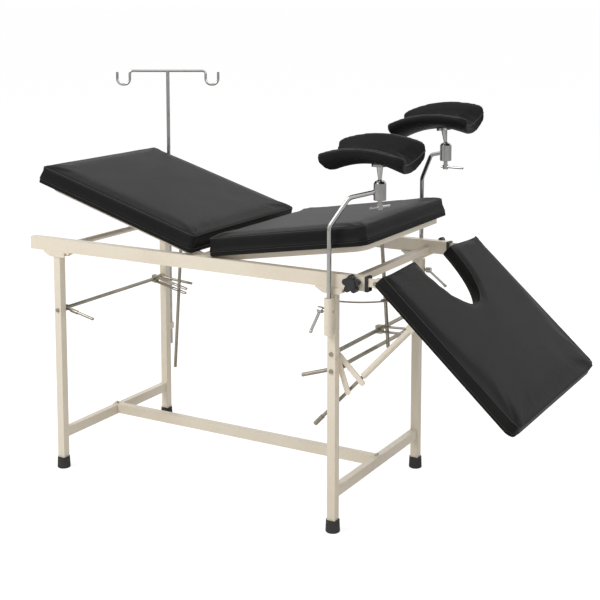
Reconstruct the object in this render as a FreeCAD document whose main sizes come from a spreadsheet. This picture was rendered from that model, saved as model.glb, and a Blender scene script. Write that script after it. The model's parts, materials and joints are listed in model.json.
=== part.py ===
import FreeCAD, Part
import math
import os
import re
import Sketcher

# Obstetric delivery table: tube frame, three upholstered sections, knee crutches and an infusion pole.
# X runs from the head end to the foot end, Y from the near side to the far side and Z up from the floor.
doc = FreeCAD.newDocument("delivery_table")
sheet = doc.addObject("Spreadsheet::Sheet", "Sizes")
# Frame
head_leg_x = -675
foot_leg_x = 305
half_track = 280
leg_side = 25
tube_wall = 1.5
leg_foot_z = 6
rail_top = 746
rail_height = 40
rail_width = 25
rail_head_x = -780
rail_foot_x = 407
foot_radius = 21
foot_height = 36
bar_height = 30
bar_width = 20
bar_low_z = 98
cross_tube_side = 20
foot_cross_x = 340

# Sections
pad_half_width = 295
frame_half_width = 262
angle_side = 18
angle_wall = 3
board_thick = 10
cushion_thick = 50
hinge_z = 738
axle_radius = 6
running_gap = 0.05
back_hinge_x = -145
back_length = 615
back_tilt = 16.4
seat_hinge_x = -109
seat_length = 525
seat_tilt = 9.2
leg_pin_x = 438
leg_pin_z = 730
leg_length = 535
leg_tilt = 42.3
leg_half_width = 336
leg_board_thick = 6
leg_cushion_thick = 35
cutout_half_width = 127
cutout_depth = 192
pad_corner = 14
pad_foot_corner = 30

# Prop rods and clamps
prop_radius = 5.5
rod_radius = 6
head_rod_z = 518
foot_rod_z = 517
release_rod_z = 468
back_prop_y = 222
seat_prop_y = 12
prop_pivot_drop = 20
back_prop_at = 416
seat_prop_at = 421
back_prop_length = 627
seat_prop_length = 322
back_prop_lean = 4
seat_prop_lean = 4.2
strut_y = -250
strut_lean = 46.8
strut_length = 437
strut_tube_length = 215
strut_pivot_at = 148
strut_pivot_drop = 24

# Knee crutches
post_y = 306
post_radius = 6.5
socket_radius = 13.5
socket_low_z = 575
socket_height = 103
near_post_z = 578
far_post_z = 636
arm_turn = 35.4
clamp_radius = 17.5
clamp_height = 55
clamp_reach = 138.8
clamp_rise = 370
ball_radius = 12
knee_inner = 72
knee_thick = 22
knee_arch = 340
knee_sweep = 43.6
knee_offset = 30

# Knobs and pole
knob_x = 374
knob_core = 16
knob_lobe = 9
knob_pitch = 17
knob_thick = 18
pole_y = 312
pole_radius = 6
pole_low_z = 264
pole_top_z = 1243
hook_radius = 4.5
hook_reach = 133
pole_swivel = 29.8
origin_x = 18.5
origin_y = 40


# Every size above goes into the sheet under its own name
SIZES = {word: float(value) for word, value in list(globals().items()) if isinstance(value, (int, float))}
for row, word in enumerate(SIZES, start=1):
    sheet.set("A%d" % row, word)
    sheet.set("B%d" % row, str(SIZES[word]))
    sheet.setAlias("B%d" % row, word)
doc.recompute()


def rule(text):
    def named(match):
        word = match.group(0)
        return "Sizes." + word if word in SIZES else word
    return re.sub(r"[a-z_][a-z_0-9]*", named, str(text))


def bind(thing, prop, text):
    thing.setExpression(prop, rule(text))


def place(thing, x="0", y="0", z="0"):
    bind(thing, "Placement.Base.x", x)
    bind(thing, "Placement.Base.y", y)
    bind(thing, "Placement.Base.z", z)
    return thing


def turn(thing, axis, angle):
    thing.Placement = FreeCAD.Placement(FreeCAD.Vector(0, 0, 0), FreeCAD.Rotation(FreeCAD.Vector(*axis), 10))
    bind(thing, "Placement.Rotation.Angle", angle)
    return thing


# A block is placed by its centre in every direction.
def block(name, dx, dy, dz, x, y, z):
    thing = doc.addObject("Part::Box", name)
    bind(thing, "Length", dx)
    bind(thing, "Width", dy)
    bind(thing, "Height", dz)
    place(thing, "(%s) - (%s) / 2" % (x, dx), "(%s) - (%s) / 2" % (y, dy), "(%s) - (%s) / 2" % (z, dz))
    return thing


AIM = {
    "x": FreeCAD.Rotation(FreeCAD.Vector(0, 1, 0), 90),
    "y": FreeCAD.Rotation(FreeCAD.Vector(1, 0, 0), -90),
    "z": FreeCAD.Rotation(),
}


# A round bar starts at its given point and runs along the named axis.
def bar(name, radius, length, x, y, z, axis="z"):
    thing = doc.addObject("Part::Cylinder", name)
    thing.Placement = FreeCAD.Placement(FreeCAD.Vector(0, 0, 0), AIM[axis])
    bind(thing, "Radius", radius)
    bind(thing, "Height", length)
    place(thing, x, y, z)
    return thing


def cut(name, base, tool):
    thing = doc.addObject("Part::Cut", name)
    thing.Base = base
    thing.Tool = tool
    return thing


def fuse(name, things):
    thing = doc.addObject("Part::MultiFuse", name)
    thing.Shapes = things
    thing.Refine = True
    return thing


def group(name, things):
    thing = doc.addObject("Part::Compound", name)
    thing.Links = things
    return thing


def round_edges(name, base, radius, choose):
    doc.recompute()
    thing = doc.addObject("Part::Fillet", name)
    thing.Base = base
    picked = [i + 1 for i, edge in enumerate(base.Shape.Edges) if choose(edge)]
    thing.Edges = [(i, radius, radius) for i in picked]
    return thing


def upright(edge):
    ends = [v.Point for v in edge.Vertexes]
    return len(ends) == 2 and abs(ends[0].x - ends[1].x) < 1e-6 and abs(ends[0].y - ends[1].y) < 1e-6


# Upright edges on one side of a place along X
def upright_at(way, split):
    return lambda edge: upright(edge) and way * (edge.Vertexes[0].Point.x - split) > 0


NODES = []


def node(thing, label):
    thing.Label = label
    NODES.append(thing)
    return thing


# A plane of a body, found by its role
def plane(body, role):
    for item in body.Origin.OriginFeatures:
        if item.Role == role:
            return item
    return None


def sketch_on(body, role, name):
    drawing = body.newObject("Sketcher::SketchObject", name)
    drawing.AttachmentSupport = [(plane(body, role), "")]
    drawing.MapMode = "FlatFace"
    return drawing


# Sweep a round section along a path of straight runs joined by tangent bends in the body's XZ plane
def bent_body(name, points, radius_rule, bend):
    body = doc.addObject("PartDesign::Body", name)
    path = sketch_on(body, "XZ_Plane", name + "_path")
    pts = [FreeCAD.Vector(p[0], p[1], 0) for p in points]
    start = pts[0]
    for i in range(1, len(pts) - 1):
        before = (pts[i - 1] - pts[i]).normalize()
        after = (pts[i + 1] - pts[i]).normalize()
        half = before.getAngle(after) / 2
        back = bend / math.tan(half)
        one = pts[i] + before * back
        two = pts[i] + after * back
        centre = pts[i] + (before + after).normalize() * (bend / math.sin(half))
        middle = centre + (pts[i] - centre).normalize() * bend
        path.addGeometry(Part.LineSegment(start, one), False)
        path.addGeometry(Part.Arc(one, middle, two), False)
        start = two
    path.addGeometry(Part.LineSegment(start, pts[-1]), False)
    first = (pts[1] - pts[0]).normalize()
    ring = sketch_on(body, "XY_Plane", name + "_ring")
    index = ring.addGeometry(Part.Circle(FreeCAD.Vector(0, 0, 0), FreeCAD.Vector(0, 0, 1), 5), False)
    ring.addConstraint(Sketcher.Constraint("Coincident", index, 3, -1, 1))
    wide = ring.addConstraint(Sketcher.Constraint("Radius", index, 5))
    ring.setExpression("Constraints[%d]" % wide, rule(radius_rule))
    doc.recompute()
    sweep = body.newObject("PartDesign::AdditivePipe", name + "_sweep")
    sweep.Profile = ring
    sweep.Spine = (path, [])
    path.Visibility = False
    ring.Visibility = False
    if abs(first.x) > 1e-6:
        print("the path of", name, "has to start straight up")
    return body


# Legs, each a square tube with a hole for the clamp rods that run across
def leg(label, x, side, hole_z):
    outer = block(label + "_outer", "leg_side", "leg_side", "rail_top - rail_height - leg_foot_z",
                  x, side + " * half_track", "(rail_top - rail_height + leg_foot_z) / 2")
    inner = block(label + "_inner", "leg_side - 2 * tube_wall", "leg_side - 2 * tube_wall",
                  "rail_top - rail_height - leg_foot_z + 2", x, side + " * half_track",
                  "(rail_top - rail_height + leg_foot_z) / 2")
    tube = cut(label + "_tube", outer, inner)
    holes = [bar(label + "_hole%d" % i, "rod_radius + running_gap", "leg_side + 10", x,
                 side + " * half_track - leg_side / 2 - 5", z, "y") for i, z in enumerate(hole_z)]
    tool = holes[0] if len(holes) == 1 else fuse(label + "_holes", holes)
    return node(cut(label + "_drilled", tube, tool), label)


leg("leg_head_near", "head_leg_x", "-1", ["head_rod_z"])
leg("leg_head_far", "head_leg_x", "1", ["head_rod_z"])
leg("leg_foot_near", "foot_leg_x", "-1", ["foot_rod_z", "release_rod_z"])
leg("leg_foot_far", "foot_leg_x", "1", ["foot_rod_z", "release_rod_z"])


# Rubber feet, cups that each leg stands in
def rubber_foot(name, x, side):
    cup = doc.addObject("Part::Cone", name + "_cup")
    bind(cup, "Radius1", "foot_radius")
    bind(cup, "Radius2", "foot_radius - 1.5")
    bind(cup, "Height", "foot_height")
    place(cup, x, side + " * half_track", "0")
    rim = round_edges(name + "_rim", cup, 4, lambda e: e.BoundBox.ZMax < 1)
    socket = block(name + "_socket", "leg_side", "leg_side", "foot_height", x, side + " * half_track",
                   "leg_foot_z + foot_height / 2")
    return cut(name, rim, socket)


feet = [rubber_foot("foot_%d" % i, x, side) for i, (x, side) in enumerate(
    [("head_leg_x", "-1"), ("head_leg_x", "1"), ("foot_leg_x", "-1"), ("foot_leg_x", "1")])]
node(group("rubber_feet_set", feet), "rubber_feet")


# Side rails, rectangular tubes that are closed at the head end and open for the plugs at the foot end
def rail(label, side):
    long = "rail_foot_x - rail_head_x"
    outer = block(label + "_outer", long, "rail_width", "rail_height", "(rail_foot_x + rail_head_x) / 2",
                  side + " * half_track", "rail_top - rail_height / 2")
    inner = block(label + "_inner", long, "rail_width - 2 * tube_wall", "rail_height - 2 * tube_wall",
                  "(rail_foot_x + rail_head_x) / 2 + tube_wall", side + " * half_track",
                  "rail_top - rail_height / 2")
    tube = cut(label + "_tube", outer, inner)
    stud = bar(label + "_stud", "4.05", "12", "knob_x",
               side + " * (half_track + rail_width / 2) - 6", "rail_top - rail_height / 2", "y")
    return node(cut(label + "_drilled", tube, stud), label)


rail("side_rail_near", "-1")
rail("side_rail_far", "1")


# Gusset cheeks that join each leg to the rail above it, cut on a slant at both ends
def gusset(name, x, side, face):
    body = doc.addObject("PartDesign::Body", name)
    drawing = sketch_on(body, "XZ_Plane", name + "_shape")
    outline = [(-50, 0), (-50, -3), (-26, -17), (26, -17), (50, -5), (50, 0)]
    for i in range(len(outline)):
        a = outline[i]
        b = outline[(i + 1) % len(outline)]
        drawing.addGeometry(Part.LineSegment(FreeCAD.Vector(a[0], a[1], 0), FreeCAD.Vector(b[0], b[1], 0)), False)
    for i in range(len(outline)):
        drawing.addConstraint(Sketcher.Constraint("Coincident", i, 2, (i + 1) % len(outline), 1))
    pad = body.newObject("PartDesign::Pad", name + "_pad")
    pad.Profile = drawing
    pad.Midplane = True
    bind(pad, "Length", "angle_wall")
    body.Tip = pad
    place(body, x, "%s * half_track + %s * (leg_side / 2 + angle_wall / 2)" % (side, face),
          "rail_top - rail_height")
    return body


cheeks = []
for i, (x, side) in enumerate([("head_leg_x", "-1"), ("head_leg_x", "1"), ("foot_leg_x", "-1"), ("foot_leg_x", "1")]):
    for j, face in enumerate(("-1", "1")):
        cheeks.append(gusset("cheek_%d%d" % (i, j), x, side, face))
node(group("gusset_set", cheeks), "gusset_plates")

# Tubes across the frame
inside = "2 * half_track - leg_side"
head_cross = bar("head_cross_outer", "9.5", "2 * half_track - rail_width", "head_leg_x + 2",
                 "-half_track + rail_width / 2", "rail_top - 28.3", "y")
node(head_cross, "cross_tube_head")
foot_cross_z = "rail_top - rail_height + 0.3 + cross_tube_side / 2"
foot_cross = block("foot_cross_outer", "cross_tube_side", "2 * half_track - rail_width", "cross_tube_side",
                   "foot_cross_x", "0", foot_cross_z)
foot_hollow = block("foot_cross_inner", "cross_tube_side - 2 * tube_wall", "2 * half_track",
                    "cross_tube_side - 2 * tube_wall", "foot_cross_x", "0", foot_cross_z)
node(cut("foot_cross_tube", foot_cross, foot_hollow), "cross_tube_foot")


def crossbar(label, x):
    outer = block(label + "_outer", "bar_width", inside, "bar_height", x, "0", "bar_low_z + bar_height / 2")
    inner = block(label + "_inner", "bar_width - 3", inside + " + 4", "bar_height - 3", x, "0",
                  "bar_low_z + bar_height / 2")
    return node(cut(label + "_tube", outer, inner), label)


crossbar("lower_crossbar_head", "head_leg_x - 2")
crossbar("lower_crossbar_foot", "foot_leg_x - 2")

# Stretcher between the crossbars, with a flattened tab over each of them
run = "foot_leg_x - head_leg_x - bar_width - 0.4"
spine_outer = block("spine_outer", run, "leg_side", "bar_height", "(foot_leg_x + head_leg_x) / 2 - 2", "0",
                    "bar_low_z + bar_height / 2 + 3")
spine_inner = block("spine_inner", run + " + 4", "leg_side - 3", "bar_height - 3",
                    "(foot_leg_x + head_leg_x) / 2 - 2", "0", "bar_low_z + bar_height / 2 + 3")
spine = cut("spine", spine_outer, spine_inner)
tab_head = block("tab_head", "bar_width + 12", "leg_side", "3", "head_leg_x + 4", "0",
                 "bar_low_z + bar_height + 1.5")
tab_foot = block("tab_foot", "bar_width + 12", "leg_side", "3", "foot_leg_x - 8", "0",
                 "bar_low_z + bar_height + 1.5")
node(fuse("stretcher_whole", [spine, tab_head, tab_foot]), "stretcher")


# Dome bolts
def bolt(name, radius, x, y, z, axis="z", flip="1"):
    ball = doc.addObject("Part::Sphere", name + "_ball")
    bind(ball, "Radius", radius)
    place(ball, x, y, z)
    away = {"x": ("1", "0", "0"), "y": ("0", "1", "0"), "z": ("0", "0", "1")}[axis]
    wide = "4 * (%s)" % radius
    low = block(name + "_half", wide, wide, wide,
                "(%s) - %s * %s * 2 * (%s)" % (x, away[0], flip, radius),
                "(%s) - %s * %s * 2 * (%s)" % (y, away[1], flip, radius),
                "(%s) - %s * %s * 2 * (%s)" % (z, away[2], flip, radius))
    return cut(name, ball, low)


top_z = "bar_low_z + bar_height + 3"
bolts = [
    bolt("bolt_head", "7", "head_leg_x - 2", "0", top_z),
    bolt("bolt_foot_a", "5", "foot_leg_x - 2", "-6", top_z),
    bolt("bolt_foot_b", "5", "foot_leg_x - 2", "6", top_z),
]
for i, (x, side) in enumerate([("head_leg_x", "-1"), ("head_leg_x", "1"), ("foot_leg_x", "-1"), ("foot_leg_x", "1")]):
    bolts.append(bolt("bolt_cheek_%d" % i, "4.5", x + " + 38",
                      "%s * (half_track + leg_side / 2 + angle_wall)" % side, "rail_top - rail_height - 5",
                      "y", side))
node(group("bolt_set", bolts), "frame_bolts")


# Sockets for the crutch posts, welded to the outer faces of the foot legs
def socket(name, side):
    outer = bar(name + "_outer", "socket_radius", "socket_height", "foot_leg_x", side + " * post_y", "socket_low_z")
    inner = bar(name + "_inner", "post_radius + 0.1", "socket_height", "foot_leg_x", side + " * post_y",
                "socket_low_z + 2")
    tapped = bar(name + "_tapped", "4.05", "40", "foot_leg_x - 20", side + " * post_y", "socket_low_z + 68", "x")
    return cut(name, cut(name + "_bored", outer, inner), tapped)


node(group("socket_set", [socket("socket_near", "-1"), socket("socket_far", "1")]), "crutch_sockets")


# Brackets that hold the infusion pole on the far head leg
def pole_bracket(name, z, tapped_too):
    arm = block(name + "_arm", "22", "pole_y - half_track - leg_side / 2", "20", "head_leg_x",
                "(pole_y + half_track + leg_side / 2) / 2", z)
    eye = bar(name + "_eye", "11", "20", "head_leg_x", "pole_y", z + " - 10")
    hole = bar(name + "_hole", "pole_radius + 0.1", "30", "head_leg_x", "pole_y", z + " - 15")
    bored = cut(name + "_bored", fuse(name + "_solid", [arm, eye]), hole)
    if not tapped_too:
        return bored
    return cut(name, bored, bar(name + "_tapped", "3.05", "30", "head_leg_x", "pole_y - 2", z, "y"))


node(group("pole_bracket_set", [pole_bracket("pole_bracket_low", "330", False),
                                pole_bracket("pole_bracket_high", "640", True)]), "pole_brackets")

# Hinge axles of the back and seat sections
node(bar("back_axle_bar", "axle_radius", "2 * half_track - rail_width", "back_hinge_x",
         "-half_track + rail_width / 2", "hinge_z", "y"), "back_axle")
node(bar("seat_axle_bar", "axle_radius", "2 * half_track - rail_width", "seat_hinge_x",
         "-half_track + rail_width / 2", "hinge_z", "y"), "seat_axle")


# Clamp block with two plates that grip a prop rod; the plates have long slots
def clamp_plates(name, reach, slot_from, slot_to, tilt, x, y, z):
    hub = block(name + "_hub", "20", "18", "24", "0", "0", "0")
    upper = block(name + "_upper", "%s + 10" % reach, "18", "3", "(%s) / 2 + 5" % reach, "0", "8")
    lower = block(name + "_lower", "%s + 10" % reach, "18", "3", "(%s) / 2 + 5" % reach, "0", "-8")
    tip_a = bar(name + "_tip_a", "9", "3", reach + " + 10", "0", "6.5")
    tip_b = bar(name + "_tip_b", "9", "3", reach + " + 10", "0", "-9.5")
    solid = fuse(name + "_solid", [hub, upper, lower, tip_a, tip_b])
    slot = block(name + "_slot", "%s - %s" % (slot_to, slot_from), "12.4", "40",
                 "(%s + %s) / 2" % (slot_to, slot_from), "0", "0")
    bore = bar(name + "_bore", "rod_radius + running_gap", "30", "0", "-15", "0", "y")
    thing = cut(name, cut(name + "_slotted", solid, slot), bore)
    turn(thing, (0, 1, 0), tilt)
    return place(thing, x, y, z)


# Head clamp: the rod turns in the head legs with its two levers
head_rod = bar("head_rod_bar", "rod_radius", "2 * half_track + leg_side + 8", "head_leg_x",
               "-half_track - leg_side / 2 - 4", "head_rod_z", "y")
node(head_rod, "clamp_rod_head")
node(clamp_plates("back_clamp", "118", "78", "132", "13", "head_leg_x", "back_prop_y", "head_rod_z"), "back_clamp_plates")


def lever(label, y, tilt, length, sleeve):
    arm = bar(label + "_arm", "4.5", length, "9", "0", "0", "x")
    hub = bar(label + "_hub", "10", "14", "0", "-7", "0", "y")
    grip = bar(label + "_grip", "6.5", "26", sleeve, "0", "0", "x")
    bore = bar(label + "_bore", "rod_radius + running_gap", "30", "0", "-15", "0", "y")
    thing = cut(label + "_whole", fuse(label + "_solid", [arm, hub, grip]), bore)
    turn(thing, (0, 1, 0), tilt)
    return node(place(thing, "head_leg_x", y, "head_rod_z"), label)


lever("release_lever_near", "-255", "12", "104", "24")
lever("release_lever_far", "255", "4", "124", "20")

# Foot clamps: the upper rod is fixed in the foot legs, the lower one turns with its handle
node(bar("foot_rod_bar", "rod_radius + running_gap", "2 * half_track + leg_side + 6", "foot_leg_x",
         "-half_track - leg_side / 2 - 3", "foot_rod_z", "y"), "clamp_rod_foot")
node(clamp_plates("seat_clamp", "70", "14", "36", "-3", "foot_leg_x", "seat_prop_y", "foot_rod_z"),
     "seat_clamp_plates")

release = bar("release_bar", "rod_radius", "2 * half_track + leg_side + 8", "foot_leg_x",
              "-half_track - leg_side / 2 - 4", "release_rod_z", "y")
collar_a = bar("release_collar_a", "10", "12", "foot_leg_x", "-262", "release_rod_z", "y")
collar_b = bar("release_collar_b", "10", "12", "foot_leg_x", "-226", "release_rod_z", "y")
handle = bar("release_handle", "5.5", "118", "foot_leg_x", "-256", "release_rod_z", "z")
handle.Placement = FreeCAD.Placement(FreeCAD.Vector(0, 0, 0), FreeCAD.Rotation(FreeCAD.Vector(0, 1, 0), -107.8))
place(handle, "foot_leg_x", "-256", "release_rod_z")
node(fuse("release_whole", [release, collar_a, collar_b, handle]), "release_rod_foot")


# Two flat bars that hang from the foot clamp rod beside the leg strut
def hanger(name, length, angle, y):
    flat = block(name + "_flat", "16", "3.6", length, "0", "0", "-(%s) / 2" % length)
    eye = bar(name + "_eye", "11", "3.6", "0", "-1.8", "0", "y")
    tip = bar(name + "_tip", "8", "3.6", "0", "-1.8", "-(%s)" % length, "y")
    bore = bar(name + "_bore", "rod_radius + 2 * running_gap", "20", "0", "-10", "0", "y")
    thing = cut(name, fuse(name + "_solid", [flat, eye, tip]), bore)
    turn(thing, (0, -1, 0), angle)
    return place(thing, "foot_leg_x", y, "foot_rod_z")


node(group("hanger_set", [hanger("hanger_white", "116", "19", "-265.3"),
                          hanger("hanger_cream", "112", "46", "-261.3")]), "strut_clamp_bars")

# Bowed wire with an eye that keeps the seat prop upright
wire_path = Part.Wire([Part.Arc(FreeCAD.Vector(305, -266.3, 662), FreeCAD.Vector(313, -136, 631),
                                FreeCAD.Vector(322, -2, 606)).toShape()])
wire_ring = Part.Wire([Part.makeCircle(2.5, FreeCAD.Vector(305, -266.3, 662),
                                       wire_path.Edges[0].tangentAt(wire_path.Edges[0].FirstParameter))])
wire = doc.addObject("Part::Feature", "guide_wire_bar")
wire.Shape = wire_path.makePipeShell([wire_ring], True, True)
eye = doc.addObject("Part::Torus", "guide_wire_eye")
eye.Radius1 = 12
eye.Radius2 = 2.5
bind(eye, "Placement.Base.x", "foot_leg_x + 18")
bind(eye, "Placement.Base.y", "seat_prop_y")
eye.Placement.Base.z = 606
node(fuse("guide_wire_whole", [wire, eye]), "prop_guide_wire")


# Upholstered section: angle frame, board and cushion in the section's own plane, hinge at the origin
def angle_frame(name, start, end, half, corners):
    def ring(part, inset, low, high):
        thing = block(part, "(%s) - (%s) - 2 * %s" % (end, start, inset), "2 * %s - 2 * %s" % (half, inset),
                      "(%s) - (%s)" % (high, low), "(%s + %s) / 2" % (end, start), "0",
                      "(%s + %s) / 2" % (high, low))
        return thing
    outer = ring(name + "_outer", "0", "-angle_side / 2", "angle_side / 2")
    sign = 1 if corners == "end" else -1
    outer = round_edges(name + "_corners", outer, 35,
                        lambda e: upright(e) and sign * e.Vertexes[0].Point.x > 0
                        and abs(e.Vertexes[0].Point.x) > 100)
    under = ring(name + "_under", "angle_wall", "-angle_side / 2 - 1", "angle_side / 2 - angle_wall")
    under = round_edges(name + "_under_corners", under, 32,
                        lambda e: upright(e) and sign * e.Vertexes[0].Point.x > 0
                        and abs(e.Vertexes[0].Point.x) > 100)
    through = ring(name + "_through", "angle_side", "-angle_side", "angle_side")
    return cut(name, cut(name + "_angle", outer, under), through)


def slab(name, start, end, half, low, high):
    return block(name + "_block", "(%s) - (%s)" % (end, start), "2 * (%s)" % half, "(%s) - (%s)" % (high, low),
                 "(%s + %s) / 2" % (end, start), "0", "(%s + %s) / 2" % (high, low))


def pivot_lug(name, x, y, drop):
    ears = [block("%s_ear%d" % (name, i), "18", "4", "%s + 7" % drop, x, "%s + %s" % (y, off),
                  "(7 - (%s)) / 2" % drop) for i, off in enumerate(("-7.5", "7.5"))]
    ends = [bar("%s_end%d" % (name, i), "9", "4", x, "%s + %s" % (y, off), "-(%s)" % drop, "y")
            for i, off in enumerate(("-9.5", "5.5"))]
    pin = bar(name + "_pin", "4", "22", x, "%s - 11" % y, "-(%s)" % drop, "y")
    return ears + ends + [pin]


# Back section
back_x0 = "-(back_length + 5)"
back_outer = angle_frame("back_angle", "-(back_length - 15)", "12", "frame_half_width", "start")
back_cross = block("back_cross", "18", "2 * frame_half_width - 6", "3", "-back_prop_at", "0", "angle_side / 2 - 1.5")
back_body = fuse("back_frame_solid", [back_outer, back_cross] + pivot_lug("back_lug", "-back_prop_at", "back_prop_y",
                                                                       "prop_pivot_drop"))
back_bore = bar("back_bore", "axle_radius + running_gap", "2 * frame_half_width + 20", "0",
                "-frame_half_width - 10", "0", "y")
back_frame = cut("back_frame_whole", back_body, back_bore)
back_board = slab("back_board", "-(back_length + 10)", "-22", "pad_half_width", "angle_side / 2",
                     "angle_side / 2 + board_thick")
back_board_round = round_edges("back_board_corners", back_board, pad_corner - 3, upright)
back_soft = slab("back_soft", "-(back_length + 15)", "-17", "pad_half_width + 5", "angle_side / 2 + board_thick",
                    "angle_side / 2 + board_thick + cushion_thick")
back_soft_round = round_edges("back_soft_corners", back_soft, pad_corner, upright)
for thing, label in ((back_frame, "back_frame"), (back_board_round, "back_board"), (back_soft_round, "back_cushion")):
    turn(thing, (0, 1, 0), "back_tilt")
    place(thing, "back_hinge_x", "0", "hinge_z")
    node(thing, label)

# Seat section
seat_outer = angle_frame("seat_angle", "-12", "seat_length - 22", "frame_half_width", "end")
seat_cross = block("seat_cross", "18", "2 * frame_half_width - 6", "3", "seat_prop_at", "0", "angle_side / 2 - 1.5")
seat_body = fuse("seat_frame_solid", [seat_outer, seat_cross] + pivot_lug("seat_lug", "seat_prop_at", "seat_prop_y",
                                                                       "prop_pivot_drop"))
seat_bore = bar("seat_bore", "axle_radius + running_gap", "2 * frame_half_width + 20", "0",
                "-frame_half_width - 10", "0", "y")
seat_frame = cut("seat_frame_whole", seat_body, seat_bore)
seat_board = slab("seat_board", "8", "seat_length - 4", "pad_half_width - 8", "angle_side / 2",
                     "angle_side / 2 + board_thick")
seat_board_head = round_edges("seat_board_head", seat_board, pad_corner - 3, upright_at(-1, 200))
seat_board_round = round_edges("seat_board_corners", seat_board_head, pad_foot_corner - 3, upright_at(1, 200))
seat_soft = slab("seat_soft", "3", "seat_length + 1", "pad_half_width - 4", "angle_side / 2 + board_thick",
                    "angle_side / 2 + board_thick + cushion_thick")
seat_soft_head = round_edges("seat_soft_head", seat_soft, pad_corner, upright_at(-1, 200))
seat_soft_round = round_edges("seat_soft_corners", seat_soft_head, pad_foot_corner, upright_at(1, 200))
for thing, label in ((seat_frame, "seat_frame"), (seat_board_round, "seat_board"), (seat_soft_round, "seat_cushion")):
    turn(thing, (0, -1, 0), "seat_tilt")
    place(thing, "seat_hinge_x", "0", "hinge_z")
    node(thing, label)


# Prop rods hang from the lugs and pass through the slotted plates
def prop_rod(label, length, lean, x, y, z):
    eye_ring = bar(label + "_eye", "9", "10.4", "0", "-5.2", "0", "y")
    rod = bar(label + "_rod", "prop_radius", length, "0", "0", "-(%s)" % length)
    bore = bar(label + "_bore", "4 + running_gap", "20", "0", "-10", "0", "y")
    thing = cut(label + "_whole", fuse(label + "_solid", [eye_ring, rod]), bore)
    turn(thing, (0, 1, 0), lean)
    return node(place(thing, x, y, z), label)


prop_rod("back_prop", "back_prop_length", "back_prop_lean",
         "back_hinge_x - back_prop_at * cos(back_tilt) - prop_pivot_drop * sin(back_tilt)", "back_prop_y",
         "hinge_z + back_prop_at * sin(back_tilt) - prop_pivot_drop * cos(back_tilt)")
prop_rod("seat_prop", "seat_prop_length", "-seat_prop_lean",
         "seat_hinge_x + seat_prop_at * cos(seat_tilt) + prop_pivot_drop * sin(seat_tilt)", "seat_prop_y",
         "hinge_z + seat_prop_at * sin(seat_tilt) - prop_pivot_drop * cos(seat_tilt)")


# Plugs that slide into the rail ends and carry the leg section
def plug(label, side):
    inner = block(label + "_inner", "92", "rail_width - 2 * tube_wall - 0.6", "rail_height - 2 * tube_wall - 0.6",
                  "rail_foot_x - 44", side + " * half_track", "rail_top - rail_height / 2")
    hook_y = side + " * (half_track + 6.6)"
    neck = block(label + "_neck", "leg_pin_x - rail_foot_x", "7.6", "22", "(leg_pin_x + rail_foot_x) / 2", hook_y,
                 "leg_pin_z + 1")
    eye = bar(label + "_eye", "13", "7.6", "leg_pin_x", hook_y + " - 3.8", "leg_pin_z", "y")
    web = block(label + "_web", "12", "14", "22", "rail_foot_x + 6", side + " * (half_track + 3)", "leg_pin_z + 1")
    solid = fuse(label + "_solid", [inner, neck, eye, web])
    bore = bar(label + "_bore", "axle_radius + running_gap", "60", "leg_pin_x", side + " * half_track - 30",
               "leg_pin_z", "y")
    dimple = bar(label + "_dimple", "4.3", "12", "knob_x", "%s * (half_track + rail_width / 2) - 6" % side,
                 "rail_top - rail_height / 2", "y")
    return node(cut(label + "_drilled", solid, fuse(label + "_holes", [bore, dimple])), label)


plug("leg_plug_near", "-1")
plug("leg_plug_far", "1")


def collar(name, side):
    outer = block(name + "_outer", "9", "rail_width + 3", "rail_height + 2", "rail_foot_x + 5.2",
                  side + " * half_track", "rail_top - rail_height / 2")
    inner = block(name + "_inner", "12", "21.4", "36.4", "rail_foot_x + 5.2", side + " * (half_track + 0.0)",
                  "rail_top - rail_height / 2")
    return cut(name, outer, inner)


node(group("collar_set", [collar("collar_near", "-1"), collar("collar_far", "1")]), "plug_collars")


def hinge_pin(name, side):
    shank = bar(name + "_shank", "axle_radius", "27", "leg_pin_x", "%s * half_track - 13.5" % side, "leg_pin_z", "y")
    return shank


node(group("hinge_pin_set", [hinge_pin("hinge_pin_near", "-1"), hinge_pin("hinge_pin_far", "1")]), "leg_hinge_pins")

# Leg section frame: two side bars with eyes, two cross bars and the lug of the strut
bars = []
for i, side in enumerate(("-1", "1")):
    bars.append(block("leg_side_bar%d" % i, "484", "18", "20", "242 - 4", side + " * 273", "5"))
    bars.append(bar("leg_side_eye%d" % i, "12", "18", "0", side + " * 273 - 9", "0", "y"))
bars.append(block("leg_cross_a", "20", "530", "18", "cutout_depth + 25", "0", "5"))
bars.append(block("leg_cross_b", "20", "530", "18", "470", "0", "5"))
bars.append(block("leg_lug_plate", "24", "5", "strut_pivot_drop + 8", "strut_pivot_at", "-268.5",
                  "-(strut_pivot_drop) / 2 - 2"))
bars.append(bar("leg_lug_pin", "5", "26", "strut_pivot_at", "-268", "-strut_pivot_drop", "y"))
leg_solid = fuse("leg_frame_solid", bars)
leg_bore = bar("leg_frame_bore", "axle_radius + running_gap", "640", "0", "-320", "0", "y")
leg_frame = cut("leg_frame_whole", leg_solid, leg_bore)


def horseshoe(name, start, end, half, low, high, inset, corner):
    sheet_part = slab(name, start, end, half, low, high)
    sheet_part = round_edges(name + "_head", sheet_part, 8, upright_at(-1, 200))
    sheet_part = round_edges(name + "_foot", sheet_part, corner, upright_at(1, 200))
    notch = doc.addObject("PartDesign::Body", name + "_notch")
    curve = sketch_on(notch, "XY_Plane", name + "_curve")
    deep = cutout_depth + float(inset)
    wide = cutout_half_width + float(inset)
    curve.addGeometry(Part.Ellipse(FreeCAD.Vector(0, 0, 0), deep, wide), False)
    doc.recompute()
    drop = notch.newObject("PartDesign::Pad", name + "_drop")
    drop.Profile = curve
    drop.Midplane = True
    drop.Length = 200
    notch.Tip = drop
    return cut(name + "_whole", sheet_part, notch)


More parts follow.
